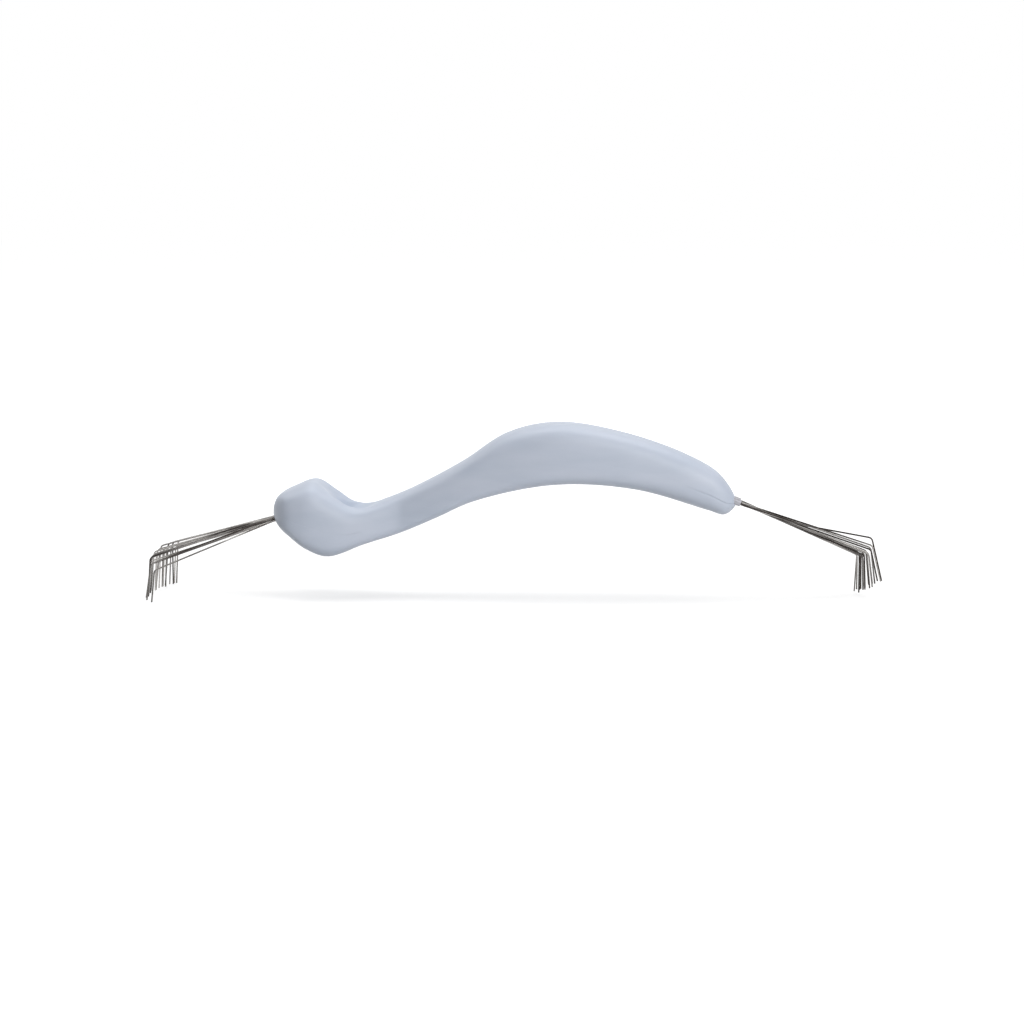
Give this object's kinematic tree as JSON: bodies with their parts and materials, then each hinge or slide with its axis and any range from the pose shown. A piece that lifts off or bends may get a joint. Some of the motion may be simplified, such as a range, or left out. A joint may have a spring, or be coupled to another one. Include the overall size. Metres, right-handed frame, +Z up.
{
  "type": "brush cleaning rake",
  "caption": "Curved two-shell plastic handle with a fan of bent spring-steel wires at each end, for raking hair and lint out of brushes.",
  "frame": {"origin": "middle of the rake's bounding box, on the plane that its lowest wire tips stand on", "axes": "+X along the handle from the wide front fan to the narrow rear fan, +Z up, tines pointing down"},
  "size_m": [0.1906, 0.0334, 0.0455],
  "materials": {
    "handle_plastic": "smooth moulded, satin, pale blue grey",
    "spring_steel": "drawn spring wire, semi-bright",
    "ferrule_steel": "plain bright, crimped"
  },
  "bodies": {
    "root": {"handle_upper_shell": "handle_plastic", "handle_lower_shell": "handle_plastic", "front_ferrule": "ferrule_steel", "front_wire_01": "spring_steel", "front_wire_02": "spring_steel", "front_wire_03": "spring_steel", "front_wire_04": "spring_steel", "front_wire_05": "spring_steel", "front_wire_06": "spring_steel", "front_wire_07": "spring_steel", "front_wire_08": "spring_steel", "front_wire_09": "spring_steel", "front_wire_10": "spring_steel", "front_wire_11": "spring_steel", "front_wire_12": "spring_steel", "front_wire_13": "spring_steel", "front_wire_14": "spring_steel", "front_wire_15": "spring_steel", "front_wire_16": "spring_steel", "front_wire_17": "spring_steel", "front_wire_18": "spring_steel", "front_wire_19": "spring_steel", "front_wire_20": "spring_steel", "rear_ferrule": "ferrule_steel", "rear_wire_01": "spring_steel", "rear_wire_02": "spring_steel", "rear_wire_03": "spring_steel", "rear_wire_04": "spring_steel", "rear_wire_05": "spring_steel", "rear_wire_06": "spring_steel", "rear_wire_07": "spring_steel", "rear_wire_08": "spring_steel", "rear_wire_09": "spring_steel", "rear_wire_10": "spring_steel", "rear_wire_11": "spring_steel", "rear_wire_12": "spring_steel", "rear_wire_13": "spring_steel", "rear_wire_14": "spring_steel", "rear_wire_15": "spring_steel", "rear_wire_16": "spring_steel", "rear_wire_17": "spring_steel", "rear_wire_18": "spring_steel"}
  },
  "joints": []
}
